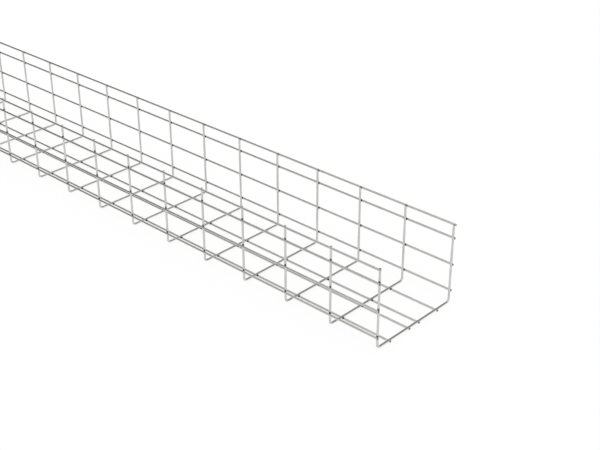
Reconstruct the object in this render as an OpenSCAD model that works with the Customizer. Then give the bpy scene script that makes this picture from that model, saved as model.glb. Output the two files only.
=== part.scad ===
// Wire mesh cable basket: a sheet of welded steel wire mesh, bent up along both
// sides into an open U-shaped tray that cables are laid in.
// Millimetres. X runs along the tray, Y across it and Z up. The origin is under the
// middle of the tray, on the plane that its bottom wires lie on.

/* [Wire] */
// Diameter of every wire
wire_d = 4; // [3:0.5:6]
// Depth that resistance welding sinks two crossing wires into each other
weld_sink = 0.4; // [0.1:0.1:0.6]

/* [Flat mesh] */
// Number of cross wires along the tray
cross_count = 31; // [2:1:48]
// Spacing of the cross wires along the tray
pitch = 100; // [50:10:150]
// Spacing of the long wires across the sheet
mesh = 50; // [45:1:60]
// Closer spacing of the long wires under each rim and at the middle of the floor
narrow_mesh = 25; // [15:1:30]
// Height that the cut ends of a cross wire stand past the middle of its rim wires
end_overhang = 1; // [0:0.5:5]

/* [Bent tray] */
// Outside width over the long wires of both walls
overall_w = 200; // [195:1:215]
// Radius of a cross wire's bends, to the middle of the wire
bend_r = 5.5; // [4:0.5:8]

/* [Hidden] */
$fn = 24;
zinc = [0.76, 0.76, 0.74];
wire_r = wire_d / 2;

// Two wires welded across each other have their middles this far apart
weld_offset = wire_d - weld_sink;

// The long wires are all on the outside, so the floor run of a cross wire lies on the
// bottom wires, and its uprights stand inside the side wires
floor_z = wire_r + weld_offset;
upright_y = overall_w / 2 - wire_r - weld_offset;
floor_run = 2 * (upright_y - bend_r);

// The end cross wires stand flush with the cut ends of the long wires
tray_len = (cross_count - 1) * pitch + wire_d;
function cross_x(i) = tray_len / 2 - wire_r - i * pitch;

// Bottom wires, from the left wall to the right one
bottom_y = [narrow_mesh / 2 + mesh, narrow_mesh / 2, -narrow_mesh / 2, -narrow_mesh / 2 - mesh];

// A bend takes less wire than the two straight runs to its corner would, so the lowest
// side wire stands one mesh from the outer bottom wire, measured round the bend
bend_saving = (2 - PI / 2) * bend_r;
low_z = floor_z + mesh - (upright_y - bottom_y[0]) + bend_saving;
side_z = [low_z, low_z + mesh, low_z + 2 * mesh, low_z + 2 * mesh + narrow_mesh];
upright_h = side_z[3] + end_overhang - floor_z - bend_r;

// Names of the wires
WALLS = ["left", "right"];
LEVELS = ["low", "middle", "high", "rim"];
function two_digits(n) = str(n < 10 ? "0" : "", n);
function side_name(wall, level) = str(WALLS[wall], "_", LEVELS[level], "_wire");
function bottom_name(i) = str("bottom_wire_", i + 1);
function cross_name(i) = str("cross_wire_", two_digits(i + 1));

// A straight wire of the tray's full length, cut square at both ends
module long_wire(y, z) {
    translate([-tray_len / 2, y, z])
        rotate([0, 90, 0])
            cylinder(h = tray_len, r = wire_r);
}

// A side wire is on the outside of its wall, which is the left one towards +Y
module side_wire(wall, level) {
    out = wall == 0 ? 1 : -1;
    color(zinc)
        long_wire(out * (upright_y + weld_offset), side_z[level]);
}

module bottom_wire(i) {
    color(zinc)
        long_wire(bottom_y[i], wire_r);
}

// A quarter turn in the YZ plane, from the floor run up to the upright at +Y
module bend() {
    translate([0, upright_y - bend_r, floor_z + bend_r])
        rotate([90, 0, 90])
            rotate([0, 0, -90])
                rotate_extrude(angle = 90)
                    translate([bend_r, 0])
                        circle(r = wire_r);
}

// One wire, bent twice: an upright, the floor run and the other upright
module cross_wire(i) {
    color(zinc)
        translate([cross_x(i), 0, 0]) {
            translate([0, -floor_run / 2, floor_z])
                rotate([-90, 0, 0])
                    cylinder(h = floor_run, r = wire_r);
            for (flip = [0, 1])
                mirror([0, flip, 0]) {
                    bend();
                    translate([0, upright_y, floor_z + bend_r])
                        cylinder(h = upright_h, r = wire_r);
                }
        }
}

for (wall = [0 : 1], level = [0 : 3])
    side_wire(wall, level);
for (i = [0 : 3])
    bottom_wire(i);
for (i = [0 : cross_count - 1])
    cross_wire(i);
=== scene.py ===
# %% [markdown]
# # A wire mesh cable basket
#
# This lesson dresses a three-metre length of basket tray: the welded wire channel that
# carries cable runs along walls and ceilings. The CAD model has already fixed every wire's
# place and size, so Blender only has to make each wire look drawn, cut, welded and plated.
#
# The real tray starts as a flat mesh. Twelve long wires are welded across thirty-one cross
# wires, the sheet is bent up along both sides, and the whole thing is plated with zinc.
# So there are four looks to make: the plated wire, the flats that the welding electrodes
# pressed into it, the dark scale round each weld with painted shade in its crevice, and the
# sheared ends.

# %% Load the frame
import math

import bpy
import numpy as np
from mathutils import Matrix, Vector


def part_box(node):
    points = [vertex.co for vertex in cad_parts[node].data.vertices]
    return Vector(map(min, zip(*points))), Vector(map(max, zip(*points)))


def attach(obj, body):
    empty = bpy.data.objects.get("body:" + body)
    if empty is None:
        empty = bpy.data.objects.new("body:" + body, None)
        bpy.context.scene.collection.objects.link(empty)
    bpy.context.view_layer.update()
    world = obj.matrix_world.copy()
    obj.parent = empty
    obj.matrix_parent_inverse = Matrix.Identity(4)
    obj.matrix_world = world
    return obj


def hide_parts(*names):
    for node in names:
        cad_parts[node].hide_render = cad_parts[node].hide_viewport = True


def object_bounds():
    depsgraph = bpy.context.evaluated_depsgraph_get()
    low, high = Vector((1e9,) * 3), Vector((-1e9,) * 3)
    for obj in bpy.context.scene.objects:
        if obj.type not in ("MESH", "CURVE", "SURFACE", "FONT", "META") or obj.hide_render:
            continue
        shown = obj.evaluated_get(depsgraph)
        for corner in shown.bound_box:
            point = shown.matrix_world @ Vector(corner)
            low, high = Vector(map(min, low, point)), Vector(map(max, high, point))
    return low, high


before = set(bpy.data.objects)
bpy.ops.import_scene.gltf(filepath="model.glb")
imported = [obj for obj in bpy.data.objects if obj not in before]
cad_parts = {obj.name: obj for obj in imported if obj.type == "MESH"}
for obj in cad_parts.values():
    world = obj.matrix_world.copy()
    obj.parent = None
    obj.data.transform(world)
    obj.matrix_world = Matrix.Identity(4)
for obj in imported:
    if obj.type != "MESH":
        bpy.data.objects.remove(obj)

cad_low, cad_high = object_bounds()
print("the tray measures", [round(v, 4) for v in cad_high - cad_low], "metres")

# %% [markdown]
# ## Reading the tray's sizes from the frame
#
# A number typed in twice will sooner or later disagree with itself. The frame already knows
# where each wire is, so the sizes here are read from the wires' boxes: the middle of a box
# is the middle of its wire, and the height of a bottom wire is its diameter.
#
# Only the radius of the bends can't be read from a box, so it is written down here.

# %% Sizes
bend_r = 0.0055  # radius of a cross wire's bends, to the middle of the wire

long_names = sorted(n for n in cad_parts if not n.startswith("cross_wire"))
cross_names = sorted(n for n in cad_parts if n.startswith("cross_wire"))


def middle(node):
    """The middle of a CAD wire's box."""
    low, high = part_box(node)
    return (low + high) / 2


wire_r = (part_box("bottom_wire_1")[1].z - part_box("bottom_wire_1")[0].z) / 2
cross_low, cross_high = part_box(cross_names[0])
upright_y = (cross_high.y - cross_low.y) / 2 - wire_r
floor_z = cross_low.z + wire_r
cross_top = cross_high.z
cross_x = sorted(middle(n).x for n in cross_names)
print(len(long_names), "long wires,", len(cross_names), "cross wires, wire radius", round(wire_r, 5))

# %% [markdown]
# ## The camera
#
# The camera comes first, so that every later step can be looked at from the right place.
# It stands off the tray's near end, to the right of it and about a metre up, and looks
# back along the tray. A long lens keeps the far bays from shrinking too fast.
#
# Blender's camera looks down its own -Z axis. Turned a quarter turn about X it looks at
# the horizon, less than a quarter turn looks down, and a turn about Z aims it sideways.

# %% Camera
past_the_end = 0.9236  # how far the camera stands beyond the near end
to_the_right = 1.2654  # and to the right of the tray's middle
eye_height = 1.0350
turned_left = math.radians(43.015)
looking_down = math.radians(28.507)
film_width = 36.0  # in millimetres, as is the lens
lens_length = 68.15
nearest_seen = 0.05
farthest_seen = 200.0

camera_data = bpy.data.cameras.new("camera")
camera_data.sensor_width = film_width
camera_data.lens = lens_length
camera_data.clip_start = nearest_seen
camera_data.clip_end = farthest_seen
camera = bpy.data.objects.new("camera", camera_data)
camera.location = (cad_high.x + past_the_end, -to_the_right, eye_height)
camera.rotation_euler = (math.pi / 2 - looking_down, 0.0, turned_left)
bpy.context.scene.collection.objects.link(camera)
bpy.context.scene.camera = camera
print("camera at", [round(v, 3) for v in camera.location])

# %% [markdown]
# ## Small helpers for node trees
#
# Shader trees and Geometry Nodes trees are built the same way: make a node, set its
# inputs, link its outputs. This helper takes a dictionary of inputs, where a plain value is
# typed into the socket and another node's output is linked to it, so a tree reads almost
# like a formula.

# %% Node helpers


def add_node(tree, kind, inputs=None, **settings):
    """A new node, with its settings, and its inputs typed in or linked."""
    node = tree.nodes.new(kind)
    for key, value in settings.items():
        setattr(node, key, value)
    for key, value in (inputs or {}).items():
        socket = node.inputs[key]
        if isinstance(value, bpy.types.NodeSocket):
            tree.links.new(value, socket)
        else:
            socket.default_value = value
    return node


def maths(tree, operation, *values):
    """One step of arithmetic on numbers: the output socket of a Math node."""
    inputs = dict(enumerate(values))
    return add_node(tree, "ShaderNodeMath", inputs, operation=operation).outputs[0]


def ramp(tree, value, from_low, from_high, to_low=0.0, to_high=1.0):
    """A smooth step from one range of numbers to another."""
    inputs = {"Value": value, "From Min": from_low, "From Max": from_high,
              "To Min": to_low, "To Max": to_high}
    return add_node(tree, "ShaderNodeMapRange", inputs, interpolation_type="SMOOTHSTEP").outputs[0]


def blend_colours(tree, share, first, second):
    """The first colour at share 0, the second at share 1."""
    node = add_node(tree, "ShaderNodeMix", data_type="RGBA")
    for index, value in ((0, share), (6, first), (7, second)):
        if isinstance(value, bpy.types.NodeSocket):
            tree.links.new(value, node.inputs[index])
        else:
            node.inputs[index].default_value = value
    return node.outputs[2]


def open_socket(tree, name, direction, kind, default=None):
    """A named input or output of a node group."""
    socket = tree.interface.new_socket(name, in_out=direction, socket_type=kind)
    if default is not None:
        socket.default_value = default
    return socket


print("node helpers ready")

# %% [markdown]
# ## The studio: floor, sky and lamp
#
# Bright metal has hardly any colour of its own; it shows what stands around it. So the
# surroundings matter more here than the lamps. The floor is white, which is what the
# uprights mirror. The sky is a plain pale studio. In it are two dim sides, one behind the
# tray and one beyond its far end, which shade the wires that lie along and across.
#
# The Light Path node says what kind of ray is asking. The camera and the mirror rays see a
# floor that is mostly plain white, with a share left over that takes the tray's shadow.
# The ordinary diffuse rays see the matt floor alone. Only the mirror rays see the dim
# sides: the camera sees a white sky, and as a lamp the sky is even all round.

# %% Floor
plain_white = (1.0, 1.0, 1.0, 1.0)
matt_white = (0.93, 0.93, 0.93, 1.0)  # the part of the floor that takes the shadow
floor_whiteness = 0.84  # share of the floor that is plain white, and takes no shadow
floor_glow = 1.02  # brightness of that share
floor_half = 100.0


def light_path_any(tree, *names):
    """One where the ray is any of the named kinds, and nought elsewhere."""
    path = add_node(tree, "ShaderNodeLightPath")
    total = path.outputs[names[0]]
    for name in names[1:]:
        total = maths(tree, "MAXIMUM", total, path.outputs[name])
    return total


floor_material = bpy.data.materials.new("white_floor")
floor_material.use_nodes = True
tree = floor_material.node_tree
tree.nodes.clear()
matt = add_node(tree, "ShaderNodeBsdfDiffuse", {"Color": matt_white})
white = add_node(tree, "ShaderNodeEmission", {"Color": plain_white, "Strength": floor_glow})
seen = light_path_any(tree, "Is Camera Ray", "Is Glossy Ray", "Is Transmission Ray")
share = maths(tree, "MULTIPLY", seen, floor_whiteness)
mixed = add_node(tree, "ShaderNodeMixShader", {0: share, 1: matt.outputs[0], 2: white.outputs[0]})
add_node(tree, "ShaderNodeOutputMaterial", {"Surface": mixed.outputs[0]})

floor_mesh = bpy.data.meshes.new("floor")
corners = [(-floor_half, -floor_half, 0.0), (floor_half, -floor_half, 0.0),
           (floor_half, floor_half, 0.0), (-floor_half, floor_half, 0.0)]
floor_mesh.from_pydata(corners, [], [(0, 1, 2, 3)])
floor_mesh.materials.append(floor_material)
floor = bpy.data.objects.new("floor", floor_mesh)
bpy.context.scene.collection.objects.link(floor)
print("floor", 2 * floor_half, "metres across")

# %% Sky
sky_level = 0.86  # brightness of the sky as a lamp
darkest = 0.02  # the mirrored sky is never darker than this
# Each dim side: where it is, how far round it starts and is full (as cosines), and its depth.
dim_sides = (
    (Vector((0.15, 0.97, 0.21)), 0.53, 0.75, 0.70),  # behind the tray
    (Vector((-0.95, -0.27, 0.14)), 0.63, 0.90, 0.97),  # beyond its far end
)


def dot(tree, first, second):
    """How far one vector reaches along another, as a number."""
    node = add_node(tree, "ShaderNodeVectorMath", {0: first, 1: second}, operation="DOT_PRODUCT")
    return node.outputs["Value"]


def sky(tree, strength):
    """A plain white sky, as bright as strength says."""
    return add_node(tree, "ShaderNodeBackground", {"Color": plain_white, "Strength": strength}).outputs[0]


world = bpy.data.worlds.new("studio")
bpy.context.scene.world = world
world.use_nodes = True
tree = world.node_tree
tree.nodes.clear()
direction = add_node(tree, "ShaderNodeTexCoord").outputs["Generated"]
brightness = 1.0
for centre, start, full, depth in dim_sides:
    facing = dot(tree, direction, centre.normalized())
    shade = ramp(tree, facing, start, full, 0.0, depth)
    brightness = maths(tree, "SUBTRACT", brightness, shade)
brightness = maths(tree, "MAXIMUM", brightness, darkest)
mirror_ray = light_path_any(tree, "Is Glossy Ray", "Is Transmission Ray")
camera_ray = light_path_any(tree, "Is Camera Ray")
for_mirrors = add_node(tree, "ShaderNodeMixShader",
                       {0: mirror_ray, 1: sky(tree, sky_level), 2: sky(tree, brightness)}).outputs[0]
for_all = add_node(tree, "ShaderNodeMixShader",
                   {0: camera_ray, 1: for_mirrors, 2: sky(tree, 1.0)}).outputs[0]
add_node(tree, "ShaderNodeOutputWorld", {"Surface": for_all})
print("sky level", sky_level, "with", len(dim_sides), "dim sides")

# %% Lamp
lamp_strength = 0.5
lamp_spread = math.radians(50)  # a wide sun, so its shadows are soft
lamp_tilt = (math.radians(28), math.radians(22), 0.0)

lamp_data = bpy.data.lights.new("soft_sun", "SUN")
lamp_data.energy = lamp_strength
lamp_data.angle = lamp_spread
lamp = bpy.data.objects.new("soft_sun", lamp_data)
lamp.rotation_euler = lamp_tilt
bpy.context.scene.collection.objects.link(lamp)
bpy.context.scene.view_settings.view_transform = "Standard"
print("lamp", lamp_data.energy)

# %% [markdown]
# ## Finishes
#
# Zinc-plated drawn wire is a satin metal with three things going on, each at its own scale:
#
# * **bloom**, the cloudy variation of the plating, a few centimetres across;
# * **die lines**, fine scratches that run along the wire, where it was pulled through a die;
# * **weld burn and painted shade**, a dark patch a few millimetres across where two wires meet: partly burnt
#   zinc, partly painted shade in the crevice between them.
#
# Both kinds of wire use all three, so each effect is a node group that is built once and
# placed in both materials. The die lines can't be made from plain object coordinates,
# because a cross wire turns two corners and its lines turn with it. Instead the wire
# carries an attribute, made with its shape, that says where across the wire a point is.

# %% Bloom group
cloud_edges = (0.35, 0.68)  # where in the noise the bloom starts, and where it is full

bloom_group = bpy.data.node_groups.new("Zinc bloom", "ShaderNodeTree")
open_socket(bloom_group, "Place", "INPUT", "NodeSocketVector")
open_socket(bloom_group, "Cloud scale", "INPUT", "NodeSocketFloat", 30.0)
open_socket(bloom_group, "Bloom", "OUTPUT", "NodeSocketFloat")
given = add_node(bloom_group, "NodeGroupInput")
clouds = add_node(bloom_group, "ShaderNodeTexNoise",
                  {"Vector": given.outputs["Place"], "Scale": given.outputs["Cloud scale"],
                   "Detail": 3.0, "Roughness": 0.6})
bloom = ramp(bloom_group, clouds.outputs[0], *cloud_edges)
add_node(bloom_group, "NodeGroupOutput", {"Bloom": bloom})
print("group:", bloom_group.name)

# %% Die line group
die_group = bpy.data.node_groups.new("Die lines", "ShaderNodeTree")
open_socket(die_group, "Across", "INPUT", "NodeSocketVector")
open_socket(die_group, "Lines", "INPUT", "NodeSocketFloat", 6.0)
open_socket(die_group, "Line height", "OUTPUT", "NodeSocketFloat")
given = add_node(die_group, "NodeGroupInput")
lines = add_node(die_group, "ShaderNodeTexNoise",
                 {"Vector": given.outputs["Across"], "Scale": given.outputs["Lines"],
                  "Detail": 2.0, "Roughness": 0.7})
add_node(die_group, "NodeGroupOutput", {"Line height": lines.outputs[0]})
print("group:", die_group.name)

# %% Weld heat group
# The mark darkens the wire near each weld: partly burn, partly painted shade in the crevice between the two
# wires.
speckle_scale = 900.0
raggedness = 0.5  # how far the speckle moves the edge of a dark patch of weld burn and painted shade
heat_and_shade_edges = (0.30, 0.62)  # where the mark starts to show, and where it is fully dark

heat_and_shade_group = bpy.data.node_groups.new("Weld heat", "ShaderNodeTree")
open_socket(heat_and_shade_group, "Mark", "INPUT", "NodeSocketFloat")
open_socket(heat_and_shade_group, "Place", "INPUT", "NodeSocketVector")
open_socket(heat_and_shade_group, "Heat and shade", "OUTPUT", "NodeSocketFloat")
given = add_node(heat_and_shade_group, "NodeGroupInput")
speckle = add_node(heat_and_shade_group, "ShaderNodeTexNoise",
                   {"Vector": given.outputs["Place"], "Scale": speckle_scale, "Detail": 2.0})
ragged = maths(heat_and_shade_group, "MULTIPLY_ADD", speckle.outputs[0], raggedness, -raggedness / 2)
edge = maths(heat_and_shade_group, "ADD", given.outputs["Mark"], ragged)
heat_and_shade = ramp(heat_and_shade_group, edge, *heat_and_shade_edges)
add_node(heat_and_shade_group, "NodeGroupOutput", {"Heat and shade": heat_and_shade})
print("group:", heat_and_shade_group.name)

# %% Plated wire
# near black, for the burn at each weld and for the painted shade in the crevice between the wires
burnt_zinc_and_shade = (0.035, 0.035, 0.034, 1.0)
cloud_scale = 28.0
line_scale = 5.0
line_strength = 0.12
line_depth = 0.0001
clean_roughness = 0.21
bloom_roughness = 0.06  # added where the plating is cloudy
heat_and_shade_roughness = 0.35  # and added where the weld burn and painted shade are
heat_and_shade_metal_loss = 0.6  # how much less like metal it is there


def use_group(tree, group, **inputs):
    """Places a node group in a material, with its inputs by name (underscores are spaces)."""
    node = add_node(tree, "ShaderNodeGroup", node_tree=group)
    for key, value in inputs.items():
        socket = node.inputs[key.replace("_", " ")]
        if isinstance(value, bpy.types.NodeSocket):
            tree.links.new(value, socket)
        else:
            socket.default_value = value
    return node


def plated_wire(name, bright, dull):
    """Satin zinc on drawn wire: cloudy, lined along its length, and dark at the welds with burn and painted
    crevice shade.
    """
    material = bpy.data.materials.new(name)
    material.use_nodes = True
    tree = material.node_tree
    shader = tree.nodes["Principled BSDF"]
    place = add_node(tree, "ShaderNodeTexCoord").outputs["Object"]
    drawn = add_node(tree, "ShaderNodeAttribute", attribute_name="drawn").outputs["Vector"]
    mark = add_node(tree, "ShaderNodeAttribute", attribute_name="weld_burn_and_shade").outputs["Fac"]
    bloom = use_group(tree, bloom_group, Place=place, Cloud_scale=cloud_scale).outputs[0]
    lines = use_group(tree, die_group, Across=drawn, Lines=line_scale).outputs[0]
    heat_and_shade = use_group(tree, heat_and_shade_group, Mark=mark, Place=place).outputs[0]

    colour = blend_colours(tree, bloom, bright, dull)
    # painted shade: near each weld, on the side facing the other wire, the colour goes towards near black,
    # partly burn and partly crevice shade
    colour = blend_colours(tree, heat_and_shade, colour, burnt_zinc_and_shade)
    tree.links.new(colour, shader.inputs["Base Color"])
    roughness = maths(tree, "MULTIPLY_ADD", bloom, bloom_roughness, clean_roughness)
    roughness = maths(tree, "MULTIPLY_ADD", heat_and_shade, heat_and_shade_roughness, roughness)
    tree.links.new(roughness, shader.inputs["Roughness"])
    metallic = maths(tree, "MULTIPLY_ADD", heat_and_shade, -heat_and_shade_metal_loss, 1.0)
    tree.links.new(metallic, shader.inputs["Metallic"])
    bump = add_node(tree, "ShaderNodeBump",
                    {"Height": lines, "Strength": line_strength, "Distance": line_depth})
    tree.links.new(bump.outputs[0], shader.inputs["Normal"])
    return material


# The long and cross wires are the same zinc. The cross wires' greys are set a little darker than the long
# wires': painted shade, a tone fitted to how light falls on each kind of wire.
long_finish_lit_tone = plated_wire("plated_long_wire_lit_tone", bright=(0.632, 0.632, 0.616, 1.0),
                          dull=(0.580, 0.580, 0.564, 1.0))
cross_finish_shaded_tone = plated_wire("plated_cross_wire_shaded_tone", bright=(0.622, 0.622, 0.607, 1.0),
                           dull=(0.572, 0.572, 0.557, 1.0))
print("finishes:", long_finish_lit_tone.name, cross_finish_shaded_tone.name)

# %% [markdown]
# The sheared ends are duller than the drawn sides, because a blade tears the steel and the
# plating takes to the torn face as a matt grey. The scale round a weld is darker still: a
# crust of metal squeezed out when the two wires were pressed into each other, near black
# partly as burnt metal and partly as painted shade in the crevice between the wires.

# %% Sheared steel and weld scale
grain_edges = (0.3, 0.7)  # where in the noise one grey ends and the other begins
grain_depth = 0.0002


def matt_metal(name, light, dark, scale, roughness, metallic, bump_strength):
    """A dull metal whose colour wanders between two greys, with a grain to match."""
    material = bpy.data.materials.new(name)
    material.use_nodes = True
    tree = material.node_tree
    shader = tree.nodes["Principled BSDF"]
    place = add_node(tree, "ShaderNodeTexCoord").outputs["Object"]
    grain = add_node(tree, "ShaderNodeTexNoise", {"Vector": place, "Scale": scale, "Detail": 3.0}).outputs[0]
    colour = blend_colours(tree, ramp(tree, grain, *grain_edges), light, dark)
    tree.links.new(colour, shader.inputs["Base Color"])
    shader.inputs["Roughness"].default_value = roughness
    shader.inputs["Metallic"].default_value = metallic
    bump = add_node(tree, "ShaderNodeBump",
                    {"Height": grain, "Strength": bump_strength, "Distance": grain_depth})
    tree.links.new(bump.outputs[0], shader.inputs["Normal"])
    return material


sheared = matt_metal("sheared_end", light=(0.47, 0.47, 0.46, 1.0), dark=(0.34, 0.34, 0.33, 1.0),
                     scale=900.0, roughness=0.5, metallic=0.9, bump_strength=0.5)
# near-black greys: partly burnt scale, partly painted shade in the crevice at each weld
scale_and_shade_finish = matt_metal("weld_scale_and_shade", light=(0.085, 0.083, 0.080, 1.0), dark=(0.030, 0.030, 0.029, 1.0),
                          scale=1400.0, roughness=0.75, metallic=0.4, bump_strength=0.7)
print("finishes:", sheared.name, scale_and_shade_finish.name)

# %% [markdown]
# ## Where the rings of a wire go
#
# Each wire is a tube: a line of rings, skinned together. A straight, even stretch of wire
# needs hardly any rings, but a bend, a weld or a cut end needs several. So the rings are
# placed one by one along the wire's own length: six to each side of every weld, one in the
# middle of every gap, eight steps round a bend, and two at each end for the sheared edge.
#
# Every ring also carries a few numbers, which the next step turns into shape and colour:
# how thick the wire is there, how hard the electrode pressed, and how near a weld is.

# %% Rings along a wire
ring_sides = 16
near_weld = (0.0006, 0.0014, 0.0022, 0.0032, 0.0046, 0.0070)  # rings to each side of a weld
bend_steps = 8
closest = 0.0001  # a ring nearer than this to the last one is left out
burr_length = 0.00028  # the sheared edge is rounded over this length
end_girth = 0.87  # and the wire is this much thinner at its very end
flat_reach = 0.0021  # how far from a weld its pressed flat ends
flat_fade = 0.0009  # the last part of that, where the flat runs out
heat_and_shade_reach = 0.0042  # how far the dark patch of weld burn and painted shade spreads


def ring_places(length, welds, extra=()):
    """Distances along a wire at which it has a ring, without any two that nearly meet."""
    wanted = set(extra)
    for weld in welds:
        wanted.update(weld + side * offset for offset in near_weld for side in (-1, 1))
    wanted.update((a + b) / 2 for a, b in zip(welds, welds[1:]))
    inside = sorted(p for p in wanted if 2 * burr_length < p < length - 2 * burr_length)
    places = [0.0, burr_length]
    for place in inside:
        if place - places[-1] > closest:
            places.append(place)
    return np.array(places + [length - burr_length, length])


def ring_numbers(places, welds, strengths):
    """For each ring: how hard it is pressed, how near it is to a weld, its girth and its cut."""
    distance = np.abs(places[:, None] - np.array(welds)[None, :])
    press = np.clip((flat_reach - distance) / flat_fade, 0, 1).max(1)
    mark = (np.exp(-((distance / heat_and_shade_reach) ** 2)) * np.array(strengths)[None, :]).max(1)
    girth = np.ones(len(places))
    girth[[0, -1]] = end_girth
    cut = np.zeros(len(places))
    cut[[0, -1]] = 1.0
    return {"press": press, "mark": mark, "girth": girth, "cut": cut}


print("ring helpers ready,", ring_sides, "sides to a ring")

# %% [markdown]
# ## The lines the wires follow
#
# A long wire is a straight line with a weld at every cross wire, so its welds are exactly
# where the frame has the cross wires.
#
# A cross wire is one rod bent twice. Its line runs down the left side, round a quarter
# circle, along the floor, round another and up the right side. Of the two functions below,
# the first answers "where is the point this far along the rod?", for the rings. The second
# asks it the other way round, "how far along the rod is this long wire?", for the welds.
# Both use the same three lengths: a side, a bend and the floor.

# %% The line of a cross wire
side_length = cross_top - (floor_z + bend_r)
arc_length = bend_r * math.pi / 2
floor_length = 2 * (upright_y - bend_r)
rod_length = 2 * side_length + 2 * arc_length + floor_length
print("one cross wire, straightened, is", round(rod_length, 5), "metres long")


def rod_point(along):
    """The place (y, z) and the inward direction (y, z) at a distance along a cross wire."""
    if along > rod_length / 2:
        (y, z), (inward_y, inward_z) = rod_point(rod_length - along)
        return (-y, z), (-inward_y, inward_z)
    if along <= side_length:
        return (upright_y, cross_top - along), (-1.0, 0.0)
    if along < side_length + arc_length:
        turn = (along - side_length) / bend_r
        inward = (-math.cos(turn), math.sin(turn))
        centre = (upright_y - bend_r, floor_z + bend_r)
        return (centre[0] - bend_r * inward[0], centre[1] - bend_r * inward[1]), inward
    return (upright_y - bend_r - (along - side_length - arc_length), floor_z), (0.0, 1.0)


def weld_along_rod(long_name):
    """How far along a cross wire its weld to a long wire is."""
    at = middle(long_name)
    if abs(at.y) > upright_y:
        down = cross_top - at.z
        return down if at.y > 0 else rod_length - down
    return side_length + arc_length + (upright_y - bend_r) - at.y


rod_welds = sorted((weld_along_rod(n), n) for n in long_names)
print("welds along the rod, in mm:", [round(1000 * w, 1) for w, n in rod_welds])

# %% The two kinds of line
rim_heat_and_shade = 0.55  # the weld burn and painted shade are weaker at the rim wires than at the others
stub_heat_and_shade = 0.6  # and so are the first and last weld of a long wire


def heat_and_shade_strength(long_name):
    """How strongly the weld burn and painted shade show at a long wire's welds."""
    return rim_heat_and_shade if "rim" in long_name else 1.0


def long_line(name):
    """The rings of a straight long wire."""
    low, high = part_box(name)
    at = middle(name)
    welds = [x - low.x for x in cross_x]
    places = ring_places(high.x - low.x, welds)
    outward = (0.0, 0.0, -1.0) if abs(at.y) < upright_y else (0.0, math.copysign(1.0, at.y), 0.0)
    count = len(places)
    strengths = [heat_and_shade_strength(name)] * len(welds)
    strengths[0] *= stub_heat_and_shade
    strengths[-1] *= stub_heat_and_shade
    line = ring_numbers(places, welds, strengths)
    line["at"] = np.column_stack([low.x + places, np.full(count, at.y), np.full(count, at.z)])
    line["press_side"] = np.tile(outward, (count, 1))
    line["along"] = places
    line["rows"] = [0.0] + [(a + b) / 2 for a, b in zip(welds, welds[1:])] + [high.x - low.x]
    return line


def cross_line(name):
    """The rings of a bent cross wire."""
    welds = [w for w, n in rod_welds]
    bends = [side_length + arc_length * i / bend_steps for i in range(bend_steps + 1)]
    bends += [rod_length - b for b in bends]
    places = ring_places(rod_length, welds, bends)
    found = [rod_point(p) for p in places]
    line = ring_numbers(places, welds, [heat_and_shade_strength(n) for w, n in rod_welds])
    x = middle(name).x
    line["at"] = np.array([(x, y, z) for (y, z), inward in found])
    line["press_side"] = np.array([(0.0, y, z) for place, (y, z) in found])
    line["along"] = places
    line["rows"] = [0.0] + [(a + b) / 2 for a, b in zip(welds, welds[1:])] + [rod_length]
    return line


print(len(long_line(long_names[0])["at"]), "rings on a long wire")
print(len(cross_line(cross_names[0])["at"]), "rings on a cross wire")

# %% [markdown]
# ## Geometry Nodes: drawing a wire round its line
# The mark darkens the wire near each weld, partly as burn and partly as painted shade in the crevice between
# the two wires.
#
# The tree does what the factory does, in the same order. Curve to Mesh draws the round
# wire. Set Position then presses a flat into it at each weld: the part of the offset that
# points at the electrode is simply not allowed to be longer than the flat is high, which is
# how a flat comes out of a round bar. The same node leans the end faces a little, because
# shears never cut quite square.
#
# At the end it stores two attributes for the finishes. `weld_burn_and_shade` is strong where the
# surface faces the wire it is welded to, close to the weld. `drawn` is a position measured
# across the wire and along it, so that die lines can follow the bends.
#
# The offset and the height are measured on the round tube, before it is pressed, and are
# stored on it, so that the finishes read the same numbers after the points have moved.

# %% Wire tree helpers


def vector_maths(tree, operation, first, second):
    """One step of arithmetic on vectors: the output socket of a Vector Math node."""
    node = add_node(tree, "ShaderNodeVectorMath", {0: first, 1: second}, operation=operation)
    return node.outputs["Vector"]


def named(tree, name, kind):
    """Reads an attribute by name, as FLOAT or FLOAT_VECTOR."""
    node = add_node(tree, "GeometryNodeInputNamedAttribute", {"Name": name}, data_type=kind)
    return node.outputs["Attribute"]


def store(tree, geometry, name, value, kind):
    """Writes a value onto every point under a name."""
    inputs = {"Geometry": geometry, "Name": name, "Value": value}
    node = add_node(tree, "GeometryNodeStoreNamedAttribute", inputs, data_type=kind, domain="POINT")
    return node.outputs["Geometry"]


def scaled(tree, vector, factor):
    """A vector times a number."""
    node = add_node(tree, "ShaderNodeVectorMath", {"Vector": vector, "Scale": factor}, operation="SCALE")
    return node.outputs[0]


print("geometry helpers ready")

# %% Wire tree
flat_depth = 0.00012  # how deep the electrodes press
shear_slant = 0.0003  # how far a cut end leans
heat_and_shade_round = (0.25, -0.40)  # the mark's reach round the wire: 1 is the electrode's side
line_stretch = 18.0  # low, so that the die lines run long
to_millimetres = 1000.0

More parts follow.
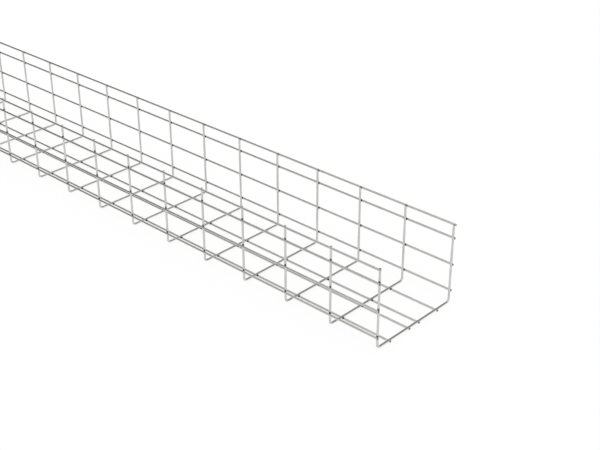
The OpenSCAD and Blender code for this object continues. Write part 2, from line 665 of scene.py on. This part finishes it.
wire_tree = bpy.data.node_groups.new("Drawn wire", "GeometryNodeTree")
open_socket(wire_tree, "Line", "INPUT", "NodeSocketGeometry")
open_socket(wire_tree, "Radius", "INPUT", "NodeSocketFloat", wire_r)
open_socket(wire_tree, "Sides", "INPUT", "NodeSocketInt", ring_sides)
open_socket(wire_tree, "Flat depth", "INPUT", "NodeSocketFloat", flat_depth)
open_socket(wire_tree, "Shear slant", "INPUT", "NodeSocketFloat", shear_slant)
open_socket(wire_tree, "Wire number", "INPUT", "NodeSocketFloat", 0.0)
open_socket(wire_tree, "Wire finish", "INPUT", "NodeSocketMaterial")
open_socket(wire_tree, "End finish", "INPUT", "NodeSocketMaterial")
open_socket(wire_tree, "Wire", "OUTPUT", "NodeSocketGeometry")
given = add_node(wire_tree, "NodeGroupInput").outputs

place = add_node(wire_tree, "GeometryNodeInputPosition").outputs[0]
line = store(wire_tree, given["Line"], "axis_at", place, "FLOAT_VECTOR")
curve = add_node(wire_tree, "GeometryNodeMeshToCurve", {"Mesh": line}).outputs[0]
ring = add_node(wire_tree, "GeometryNodeCurvePrimitiveCircle",
                {"Resolution": given["Sides"], "Radius": given["Radius"]}, mode="RADIUS").outputs["Curve"]
tube = add_node(wire_tree, "GeometryNodeCurveToMesh",
                {"Curve": curve, "Profile Curve": ring, "Scale": named(wire_tree, "girth", "FLOAT"),
                 "Fill Caps": True}).outputs[0]

axis = named(wire_tree, "axis_at", "FLOAT_VECTOR")
press_side = named(wire_tree, "press_side", "FLOAT_VECTOR")
place = add_node(wire_tree, "GeometryNodeInputPosition").outputs[0]
offset = vector_maths(wire_tree, "SUBTRACT", place, axis)
height = dot(wire_tree, offset, press_side)
flat_drop = maths(wire_tree, "MULTIPLY", named(wire_tree, "press", "FLOAT"), given["Flat depth"])
allowed = maths(wire_tree, "SUBTRACT", given["Radius"], flat_drop)
allowed = maths(wire_tree, "MINIMUM", height, allowed)
push = scaled(wire_tree, press_side, maths(wire_tree, "SUBTRACT", allowed, height))

lean = dot(wire_tree, offset, named(wire_tree, "lean", "FLOAT_VECTOR"))
lean = maths(wire_tree, "DIVIDE", lean, given["Radius"])
lean = maths(wire_tree, "MULTIPLY_ADD", lean, 0.5, 0.5)  # from -1..1 to 0..1
slip = maths(wire_tree, "MULTIPLY", lean, given["Shear slant"])
slip = maths(wire_tree, "MULTIPLY", slip, named(wire_tree, "cut", "FLOAT"))
shear = scaled(wire_tree, named(wire_tree, "into_wire", "FLOAT_VECTOR"), slip)
tube = store(wire_tree, tube, "height", height, "FLOAT")
across = dot(wire_tree, offset, named(wire_tree, "beside", "FLOAT_VECTOR"))
tube = store(wire_tree, tube, "across", across, "FLOAT")
moved = vector_maths(wire_tree, "ADD", push, shear)
tube = add_node(wire_tree, "GeometryNodeSetPosition", {"Geometry": tube, "Offset": moved}).outputs[0]

# %% Wire tree: what the finishes read
towards = maths(wire_tree, "DIVIDE", named(wire_tree, "height", "FLOAT"), given["Radius"])
facing_partner = ramp(wire_tree, towards, *heat_and_shade_round)
weld_burn_and_shade = maths(wire_tree, "MULTIPLY", facing_partner, named(wire_tree, "mark", "FLOAT"))
tube = store(wire_tree, tube, "weld_burn_and_shade", weld_burn_and_shade, "FLOAT")
sideways = maths(wire_tree, "MULTIPLY", named(wire_tree, "across", "FLOAT"), to_millimetres)
upwards = maths(wire_tree, "MULTIPLY", named(wire_tree, "height", "FLOAT"), to_millimetres)
along = named(wire_tree, "along", "FLOAT")
onward = maths(wire_tree, "MULTIPLY_ADD", along, line_stretch, given["Wire number"])
drawn = add_node(wire_tree, "ShaderNodeCombineXYZ", {0: sideways, 1: upwards, 2: onward}).outputs[0]
tube = store(wire_tree, tube, "drawn", drawn, "FLOAT_VECTOR")

tube = add_node(wire_tree, "GeometryNodeSetMaterial",
                {"Geometry": tube, "Material": given["Wire finish"]}).outputs[0]
is_end = maths(wire_tree, "GREATER_THAN", named(wire_tree, "cut", "FLOAT"), 0.99)
tube = add_node(wire_tree, "GeometryNodeSetMaterial",
                {"Geometry": tube, "Selection": is_end, "Material": given["End finish"]}).outputs[0]
add_node(wire_tree, "NodeGroupOutput", {"Wire": tube})
print("tree:", wire_tree.name, "with", len(wire_tree.nodes), "nodes")

# %% [markdown]
# ## Making the wires
#
# For each wire the line goes in as a plain mesh of points and edges. The modifier's inputs
# are set by each socket's identifier, and that has to happen before anything asks for the
# result, or the first result is made from the default values.
#
# The finished shape is then copied out as an ordinary mesh and the modifier thrown away.

# %% From a line to a wire


def line_mesh(name, line):
    """Points joined by edges, carrying each ring's numbers as attributes."""
    mesh = bpy.data.meshes.new(name)
    count = len(line["at"])
    mesh.from_pydata([tuple(p) for p in line["at"]], [(i, i + 1) for i in range(count - 1)], [])
    for key in ("press", "mark", "girth", "cut", "along"):
        mesh.attributes.new(key, "FLOAT", "POINT").data.foreach_set("value", line[key].astype(np.float32))
    steps = np.gradient(line["at"], axis=0)
    steps /= np.linalg.norm(steps, axis=1)[:, None]
    into = np.zeros((count, 3))
    into[0] = steps[0]
    into[-1] = -steps[-1]
    beside = np.cross(steps, line["press_side"])
    lean = math.cos(line["number"]) * beside + math.sin(line["number"]) * line["press_side"]
    vectors = {"press_side": line["press_side"], "beside": beside, "into_wire": into, "lean": lean}
    for key, value in vectors.items():
        flat_list = value.astype(np.float32).ravel()
        mesh.attributes.new(key, "FLOAT_VECTOR", "POINT").data.foreach_set("vector", flat_list)
    return mesh


def solid_from(tree, name, mesh, values):
    """Runs a Geometry Nodes tree on a mesh and gives back a plain object with the result."""
    source = bpy.data.objects.new(name + "_line", mesh)
    bpy.context.scene.collection.objects.link(source)
    modifier = source.modifiers.new("shape", "NODES")
    modifier.node_group = tree
    for item in tree.interface.items_tree:
        if item.item_type == "SOCKET" and item.in_out == "INPUT" and item.name in values:
            modifier[item.identifier] = values[item.name]
    depsgraph = bpy.context.evaluated_depsgraph_get()
    shape = bpy.data.meshes.new_from_object(source.evaluated_get(depsgraph), depsgraph=depsgraph)
    shape.name = name
    bpy.data.objects.remove(source)
    bpy.data.meshes.remove(mesh)
    result = bpy.data.objects.new(name, shape)
    bpy.context.scene.collection.objects.link(result)
    return result


# The map: the margins round a row, and the free spot in it where an end face goes.
along_margin = 0.01
row_margin = 0.08
end_spot = 0.90
end_half_width = 0.02
end_half_height = 0.4


def unroll(shape, line):
    """Lays the wire's surface flat on a map, in as many rows as it has bays."""
    borders = np.array(line["rows"])
    rows = len(borders) - 1
    widest = np.diff(borders).max()
    along = line["along"]
    bay = np.clip(np.searchsorted(borders, (along[:-1] + along[1:]) / 2) - 1, 0, rows - 1)
    corners = np.zeros(len(shape.loops), np.int32)
    shape.loops.foreach_get("vertex_index", corners)
    layer = shape.uv_layers.new(name="OFBake")
    spots = np.zeros((len(corners), 2), np.float32)
    for face in shape.polygons:
        chosen = range(face.loop_start, face.loop_start + face.loop_total)
        rings = corners[face.loop_start:face.loop_start + face.loop_total] // ring_sides
        turns = corners[face.loop_start:face.loop_start + face.loop_total] % ring_sides
        if rings.min() == rings.max():
            row = 0 if rings[0] == 0 else rows - 1
            angle = turns * 2 * math.pi / ring_sides
            spots[chosen, 0] = end_spot + end_half_width * np.cos(angle)
            spots[chosen, 1] = (row + 0.5 + end_half_height * np.sin(angle)) / rows
            continue
        if turns.max() - turns.min() > 1:
            turns = np.where(turns == 0, ring_sides, turns)
        row = bay[rings.min()]
        share = (along[rings] - borders[row]) / widest
        spots[chosen, 0] = along_margin + (1 - 2 * along_margin) * share
        spots[chosen, 1] = (row + row_margin + (1 - 2 * row_margin) * turns / ring_sides) / rows
    layer.data.foreach_set("uv", spots.ravel())


number_step = 7.3  # moves the die lines on, so that no two wires have the same
edge_angle = math.radians(35)  # a sharper edge than this isn't smoothed over
helper_names = ("axis_at", "girth", "press", "mark", "cut", "along", "press_side", "beside", "into_wire",
                "lean", "height", "across")


def make_wire(name, line, number, finish):
    """One wire of the tray, in its place, standing for the CAD wire of that name."""
    line["number"] = number
    values = {"Radius": wire_r, "Sides": ring_sides, "Flat depth": flat_depth, "Shear slant": shear_slant,
              "Wire number": number_step * number, "Wire finish": finish, "End finish": sheared}
    wire = solid_from(wire_tree, name + "_plated", line_mesh(name, line), values)
    shape = wire.data
    unroll(shape, line)
    shape.shade_smooth()
    shape.set_sharp_from_angle(angle=edge_angle)
    for key in [a.name for a in shape.attributes if a.name in helper_names]:
        shape.attributes.remove(shape.attributes[key])
    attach(wire, "root")
    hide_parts(name)
    return wire


print("wire maker ready")

# %% Long wires
long_wires = []
for number, name in enumerate(long_names):
    wire = make_wire(name, long_line(name), number, long_finish_lit_tone)
    long_wires.append(wire)
print(len(long_wires), "long wires,", len(long_wires[0].data.polygons), "faces each")

# %% Cross wires
first_cross_number = 100  # after the long wires' numbers

cross_wires = []
for number, name in enumerate(cross_names):
    wire = make_wire(name, cross_line(name), first_cross_number + number, cross_finish_shaded_tone)
    cross_wires.append(wire)
print(len(cross_wires), "cross wires,", len(cross_wires[0].data.polygons), "faces each")

# %% [markdown]
# ## The scale round each weld
#
# There are 372 welds, so they are scattered by Geometry Nodes rather than placed one at a
# time. A point marks each place where two wires touch, and carries the direction in which
# they were squeezed together. A flattened ball is put on every point, with its thin way
# along the squeeze, and given its own size and turn. The copies are then made real and
# roughened by noise, so that no two crusts have the same outline.

# %% Weld points
weld_places = []
weld_facing = []
for name in long_names:
    at = middle(name)
    below = abs(at.y) < upright_y
    for x in cross_x:
        if below:
            weld_places.append((x, at.y, (at.z + floor_z) / 2))
            weld_facing.append((0.0, 0.0, 1.0))
        else:
            weld_places.append((x, (at.y + math.copysign(upright_y, at.y)) / 2, at.z))
            weld_facing.append((0.0, 1.0, 0.0))
weld_mesh = bpy.data.meshes.new("weld_points")
weld_mesh.from_pydata(weld_places, [], [])
facing = np.array(weld_facing, np.float32)
weld_mesh.attributes.new("squeeze", "FLOAT_VECTOR", "POINT").data.foreach_set("vector", facing.ravel())
print(len(weld_places), "welds")

# %% Scale tree
crust_radius = 0.00175
crust_thickness = 0.00062
crust_roughen = 0.00018  # how far the noise moves its surface
crust_sizes = (0.84, 1.04)
crust_seed = 7
crust_noise = 1100.0

scale_tree = bpy.data.node_groups.new("Weld scale", "GeometryNodeTree")
open_socket(scale_tree, "Points", "INPUT", "NodeSocketGeometry")
open_socket(scale_tree, "Crust radius", "INPUT", "NodeSocketFloat", crust_radius)
open_socket(scale_tree, "Crust thickness", "INPUT", "NodeSocketFloat", crust_thickness)
open_socket(scale_tree, "Roughen", "INPUT", "NodeSocketFloat", crust_roughen)
open_socket(scale_tree, "Seed", "INPUT", "NodeSocketInt", crust_seed)
open_socket(scale_tree, "Finish", "INPUT", "NodeSocketMaterial")
open_socket(scale_tree, "Scale", "OUTPUT", "NodeSocketGeometry")
given = add_node(scale_tree, "NodeGroupInput").outputs

ball = add_node(scale_tree, "GeometryNodeMeshUVSphere",
                {"Segments": 12, "Rings": 4, "Radius": 1.0}).outputs["Mesh"]
crust_size = {0: given["Crust radius"], 1: given["Crust radius"], 2: given["Crust thickness"]}
flat_size = add_node(scale_tree, "ShaderNodeCombineXYZ", crust_size).outputs[0]
crust = add_node(scale_tree, "GeometryNodeTransform", {"Geometry": ball, "Scale": flat_size}).outputs[0]

squeeze = named(scale_tree, "squeeze", "FLOAT_VECTOR")
laid = add_node(scale_tree, "FunctionNodeAlignRotationToVector", {"Vector": squeeze}, axis="Z").outputs[0]
turn = add_node(scale_tree, "FunctionNodeRandomValue",
                {2: 0.0, 3: 2 * math.pi, "Seed": given["Seed"]}, data_type="FLOAT").outputs[1]
spin = add_node(scale_tree, "FunctionNodeAxisAngleToRotation",
                {"Axis": (0.0, 0.0, 1.0), "Angle": turn}).outputs[0]
turned = add_node(scale_tree, "FunctionNodeRotateRotation",
                  {"Rotation": laid, "Rotate By": spin}, rotation_space="LOCAL").outputs[0]
size_seed = maths(scale_tree, "ADD", given["Seed"], 1.0)
size = add_node(scale_tree, "FunctionNodeRandomValue",
                {2: crust_sizes[0], 3: crust_sizes[1], "Seed": size_seed}, data_type="FLOAT").outputs[1]
copies = add_node(scale_tree, "GeometryNodeInstanceOnPoints",
                  {"Points": given["Points"], "Instance": crust,
                   "Rotation": turned, "Scale": size}).outputs[0]
solid = add_node(scale_tree, "GeometryNodeRealizeInstances", {"Geometry": copies}).outputs[0]

where = add_node(scale_tree, "GeometryNodeInputPosition").outputs[0]
noise = add_node(scale_tree, "ShaderNodeTexNoise",
                 {"Vector": where, "Scale": crust_noise, "Detail": 1.0}).outputs[1]
wobble = vector_maths(scale_tree, "SUBTRACT", noise, (0.5, 0.5, 0.5))
wobble = scaled(scale_tree, wobble, given["Roughen"])
solid = add_node(scale_tree, "GeometryNodeSetPosition", {"Geometry": solid, "Offset": wobble}).outputs[0]
solid = add_node(scale_tree, "GeometryNodeSetMaterial",
                 {"Geometry": solid, "Material": given["Finish"]}).outputs[0]
add_node(scale_tree, "NodeGroupOutput", {"Scale": solid})
print("tree:", scale_tree.name, "with", len(scale_tree.nodes), "nodes")

# %% Scale on the welds
values = {"Crust radius": crust_radius, "Crust thickness": crust_thickness, "Roughen": crust_roughen,
          "Seed": crust_seed, "Finish": scale_and_shade_finish}
weld_scale_and_shade = solid_from(scale_tree, "weld_flash", weld_mesh, values)
weld_scale_and_shade.data.shade_smooth()
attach(weld_scale_and_shade, "root")
print(len(weld_scale_and_shade.data.polygons), "faces of weld scale")

# %% [markdown]
# ## The CAD tray's size
#
# The dressed tray has to be as big as the CAD tray. Here the CAD tray's box is printed.

# %% The CAD tray's size
print("CAD ", [round(v, 5) for v in cad_low], [round(v, 5) for v in cad_high])
